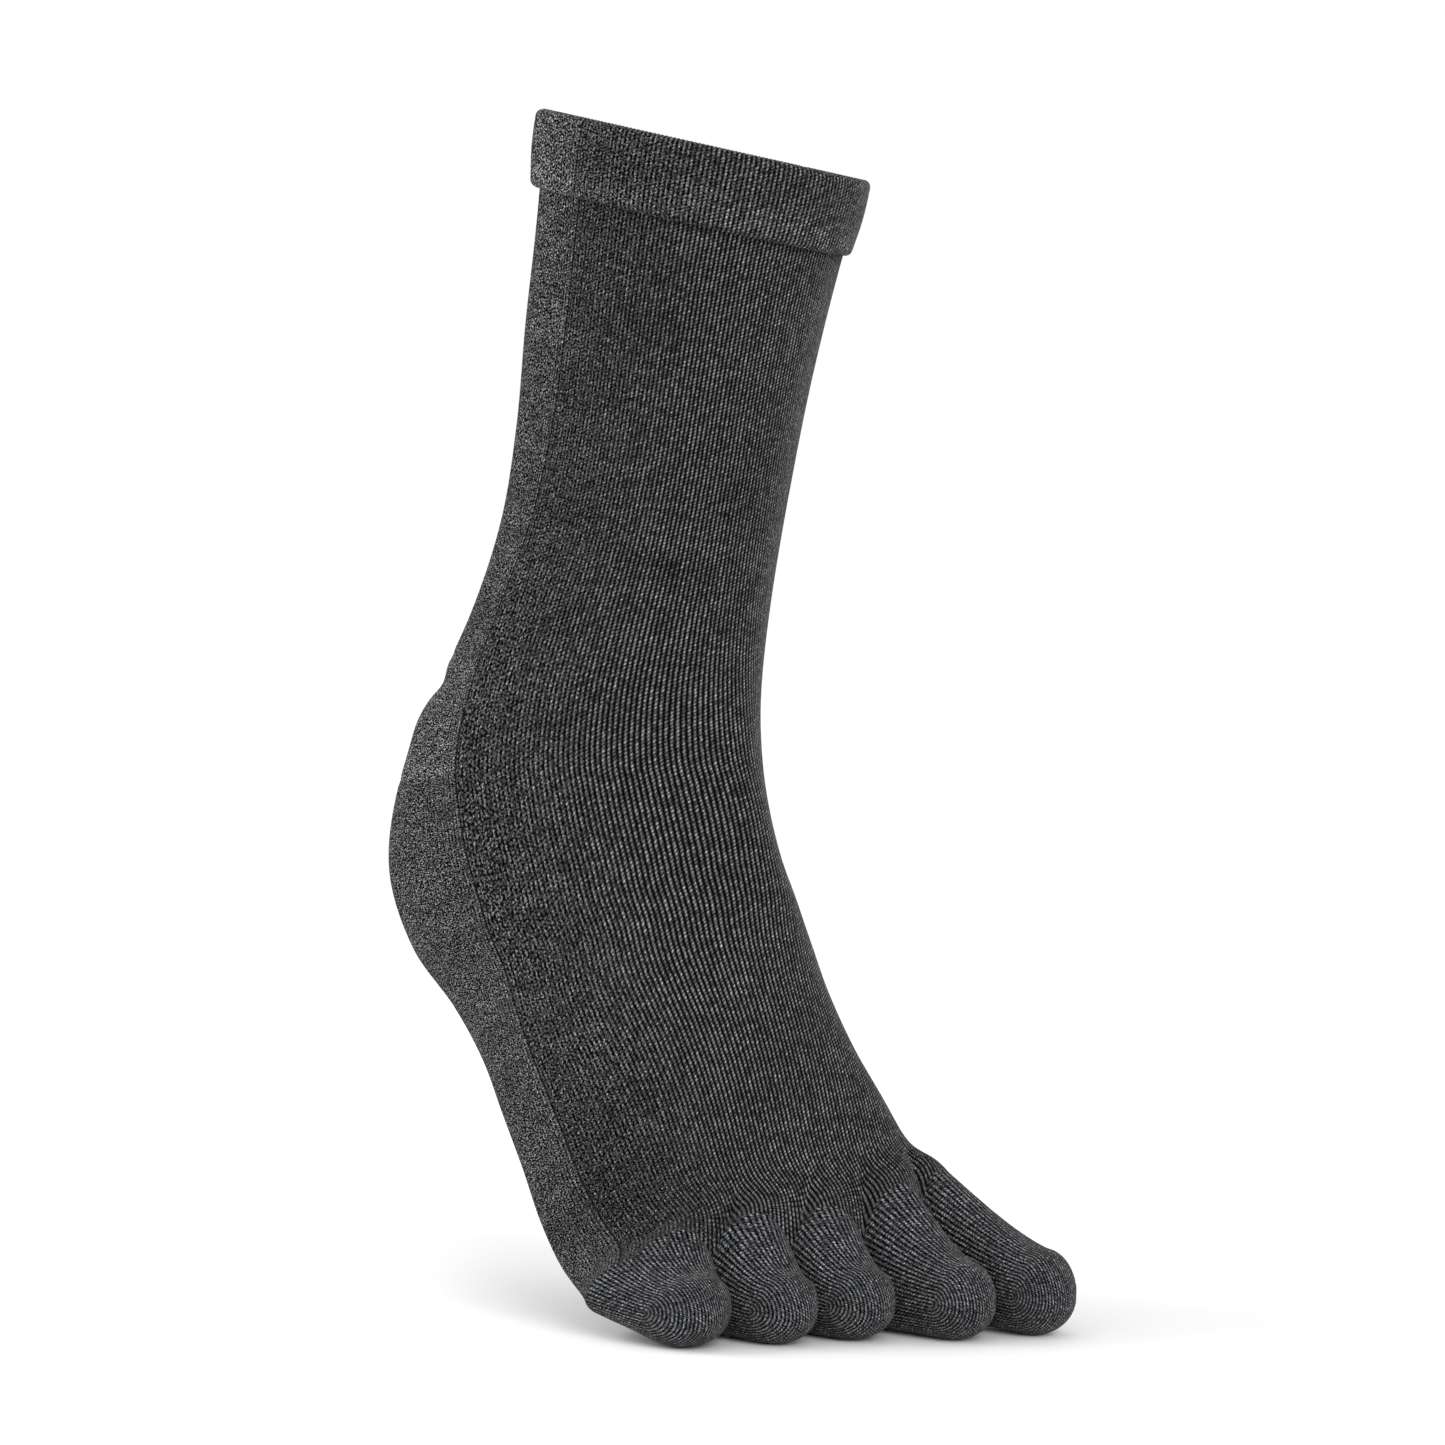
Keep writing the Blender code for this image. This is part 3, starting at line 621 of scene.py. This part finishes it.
def knit_material(name, tone, panels=False, hem=None, share=0.08, slant=0.9, depth=0.0004):
    """Charcoal heather yarn in plain stitches: two strands to each wale, each a column of slanting dashes with dark
    gaps of painted shade. share is how grainy the cloth is. With panels, the cloth behind the side lines is plainer and
    grainier, and painted paler as light falling on that side. hem is the course round which the stitches are paler."""
    material = bpy.data.materials.new(name)
    material.use_nodes = True
    n = Nodes(material)
    shader = n.tree.nodes["Principled BSDF"]
    coords = n.add("ShaderNodeTexCoord").outputs["Object"]
    split = n.add("ShaderNodeSeparateXYZ")
    n.put(split.inputs[0], n.add("ShaderNodeUVMap", uv_map="knit").outputs[0])
    wale, course = split.outputs[0], split.outputs[1]
    wobble = n.math("SUBTRACT", n.noise(coords, 420.0, 2.0), 0.5)
    strands = n.math("MULTIPLY", n.math("ADD", wale, n.math("MULTIPLY", wobble, 0.14)), 2.0)
    column = n.math("FLOOR", strands)
    across = n.math("FRACT", strands)
    v = n.math("ADD", course, n.math("MULTIPLY", wobble, 0.8))
    dash = n.math("ADD", n.math("SUBTRACT", v, n.math("MULTIPLY", across, slant)), n.math("MULTIPLY", column, 0.37))
    over = n.math("ABSOLUTE", n.math("SINE", n.math("MULTIPLY", dash, math.pi)))
    between = n.math("POWER", n.math("MAXIMUM", n.math("SINE", n.math("MULTIPLY", across, math.pi)), 0.0), 2.3)
    stitches = n.math("MULTIPLY", between, n.math("ADD", n.math("MULTIPLY", over, 0.72), 0.28))
    grain = n.add("ShaderNodeTexVoronoi", voronoi_dimensions="2D")
    n.put(grain.inputs["Vector"], n.vector(n.math("MULTIPLY", strands, 2.0), n.math("MULTIPLY", v, 1.45)))
    n.put(grain.inputs["Scale"], 1.0)
    pebble = n.spread(grain.outputs["Distance"], 0.0, 0.58, 1.24, -0.12)
    if panels:
        from_line = n.math("PINGPONG", wale, WALES / 2)
        from_line = n.math("MINIMUM", from_line, n.math("SUBTRACT", WALES / 2, from_line))
        past = n.math("GREATER_THAN", wale, WALES / 2)
        before = n.spread(from_line, 0.0, 18.0, 0.66, share)
        behind = n.spread(from_line, 0.0, 5.0, 0.55, 0.92)
        share = n.math("ADD", n.math("MULTIPLY", behind, past),
                       n.math("MULTIPLY", before, n.math("SUBTRACT", 1.0, past)))
    height = n.math("ADD", n.math("MULTIPLY", stitches, n.math("SUBTRACT", 1.0, share)),
                    n.math("MULTIPLY", pebble, share))
    chance = n.add("ShaderNodeTexWhiteNoise", noise_dimensions="2D")
    n.put(chance.inputs["Vector"], n.vector(column, n.math("FLOOR", dash)))
    stitch = chance.outputs["Value"]
    fibre = n.noise(n.vector(n.math("MULTIPLY", strands, 2.6), n.math("MULTIPLY", dash, 2.2)), 1.0, 2.0, 0.6)
    heather = n.noise(coords, 1500.0, 2.0, 0.7)
    patch = n.noise(n.vector(n.math("MULTIPLY", wale, 0.055), n.math("MULTIPLY", v, 0.085)), 1.0, 4.0, 0.65)
    # Painted shade: the colour darkens where the stitch height is low, in the gaps between strands and stitches.
    light = n.math("POWER", n.math("MAXIMUM", height, 0.0), 1.7)
    light = n.math("MULTIPLY", light, n.spread(stitch, 0.0, 1.0, 0.50, 1.45))
    light = n.math("MULTIPLY", light, n.spread(fibre, 0.3, 0.7, 0.65, 1.35))
    light = n.math("MULTIPLY", light, n.spread(heather, 0.32, 0.68, 0.26, 1.74))
    light = n.math("MULTIPLY", light, n.spread(patch, 0.3, 0.7, 0.80, 1.20))
    if panels:
        # Painted light: the cloth behind the side lines is made paler, for the light falling on that side of the sock.
        light = n.math("MULTIPLY", light, n.math("ADD", 1.0, n.math("MULTIPLY", past, 0.58)))
        light = n.math("MULTIPLY", light, n.spread(from_line, 0.05, 0.28, 0.40, 1.0))
    if hem is not None:
        off = n.math("ABSOLUTE", n.math("SUBTRACT", course, hem))
        light = n.math("MULTIPLY", light, n.spread(off, 1.0, 6.0, 1.40, 1.0))
    # The darkest colour is the painted shade in the gaps; the yarn's brightness is added to it.
    colour = [n.math("ADD", dark, n.math("MULTIPLY", light, bright)) for dark, bright in zip(GAP_SHADE_TONE, tone)]
    n.put(shader.inputs["Base Color"], n.vector(*colour))
    bump = n.add("ShaderNodeBump")
    bump.inputs["Strength"].default_value = 0.9
    bump.inputs["Distance"].default_value = depth
    n.put(bump.inputs["Height"], n.math("ADD", height, n.math("MULTIPLY", heather, 0.45)))
    n.put(shader.inputs["Normal"], bump.outputs[0])
    shader.inputs["Roughness"].default_value = 0.95
    shader.inputs["Specular IOR Level"].default_value = 0.0
    shader.inputs["Sheen Weight"].default_value = 0.085
    shader.inputs["Sheen Roughness"].default_value = 0.3
    return material


def plain_material(name, colour):
    material = bpy.data.materials.new(name)
    material.use_nodes = True
    shader = material.node_tree.nodes["Principled BSDF"]
    shader.inputs["Base Color"].default_value = (*colour, 1.0)
    shader.inputs["Roughness"].default_value = 0.9
    shader.inputs["Specular IOR Level"].default_value = 0.1
    return material


def area_light(name, place, target, size, watts):
    data = bpy.data.lights.new(name, "AREA")
    data.shape = "SQUARE"
    data.size = size
    data.energy = watts
    lamp = bpy.data.objects.new(name, data)
    lamp.location = place
    lamp.rotation_mode = "QUATERNION"
    lamp.rotation_quaternion = (Vector(target) - Vector(place)).to_track_quat("-Z", "Y")
    bpy.context.scene.collection.objects.link(lamp)


# Camera where the photograph was taken from
azimuth, pitch = math.radians(-46.0), math.radians(1.57)
right_way = Vector((math.cos(azimuth), math.sin(azimuth), 0.0))
ahead = Vector((-math.sin(azimuth), math.cos(azimuth), 0.0))
eye = -ahead * 1.079 + right_way * 0.0047 + Vector((0.0, 0.0, 0.1872 - HEIGHT))
lens = bpy.data.cameras.new("camera")
lens.lens = 100.0
lens.sensor_width = 36.0
camera = bpy.data.objects.new("camera", lens)
camera.location = eye
camera.rotation_mode = "QUATERNION"
camera.rotation_quaternion = (ahead * math.cos(pitch) - Vector((0, 0, 1)) * math.sin(pitch)).to_track_quat("-Z", "Y")
bpy.context.scene.collection.objects.link(camera)
bpy.context.scene.camera = camera

# The sock
leg, foot, front, back = build_body()
cuff = build_cuff()
body_knit = knit_material("body_knit", TONE, panels=True)
for piece in (leg, foot, front):
    piece.data.materials.append(body_knit)
    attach(piece, "root")
    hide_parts("leg_and_foot")
back.data.materials.append(knit_material("heel_knit", HEEL_PAINTED_LIGHT_TONE, panels=True))
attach(back, "root")
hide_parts("heel_pocket")
cuff.data.materials.append(knit_material("welt_knit", WELT_TONE, panels=True, hem=23, share=0.26))
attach(cuff, "root")
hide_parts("cuff")
toe_knit = knit_material("toe_knit", TOE_TONE, share=0.30)
for number, toe in enumerate(TOES):
    piece = build_toe(number)
    piece.data.materials.append(toe_knit)
    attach(piece, "root")
    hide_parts(toe[0])

# White floor and soft studio light
floor_mesh = bpy.data.meshes.new("floor")
floor_mesh.from_pydata([(-30, -30, -HEIGHT), (30, -30, -HEIGHT), (30, 30, -HEIGHT), (-30, 30, -HEIGHT)], [],
                       [(0, 1, 2, 3)])
floor = bpy.data.objects.new("floor", floor_mesh)
bpy.context.scene.collection.objects.link(floor)
floor_mesh.materials.append(plain_material("floor_white", (0.80, 0.80, 0.80)))
world = bpy.data.worlds.new("studio")
world.use_nodes = True
world.node_tree.nodes["Background"].inputs[0].default_value = (1.0, 1.0, 1.0, 1.0)
world.node_tree.nodes["Background"].inputs[1].default_value = SKY
bpy.context.scene.world = world
middle = (-0.01, -0.01, -0.16)
area_light("left", tuple(ahead * 0.15 - right_way * 0.9 + Vector((0, 0, 0.2))), middle, 0.6, 7.0)
sun_data = bpy.data.lights.new("sun", "SUN")
sun_data.energy = SUN
sun_data.angle = math.radians(SUN_WIDTH)
sun = bpy.data.objects.new("sun", sun_data)
sun.rotation_mode = "QUATERNION"
sun.rotation_quaternion = (ahead * 1.05 - right_way * 0.45 - Vector((0, 0, 0.60))).to_track_quat("-Z", "Y")
bpy.context.scene.collection.objects.link(sun)
bpy.context.scene.view_settings.view_transform = "Standard"
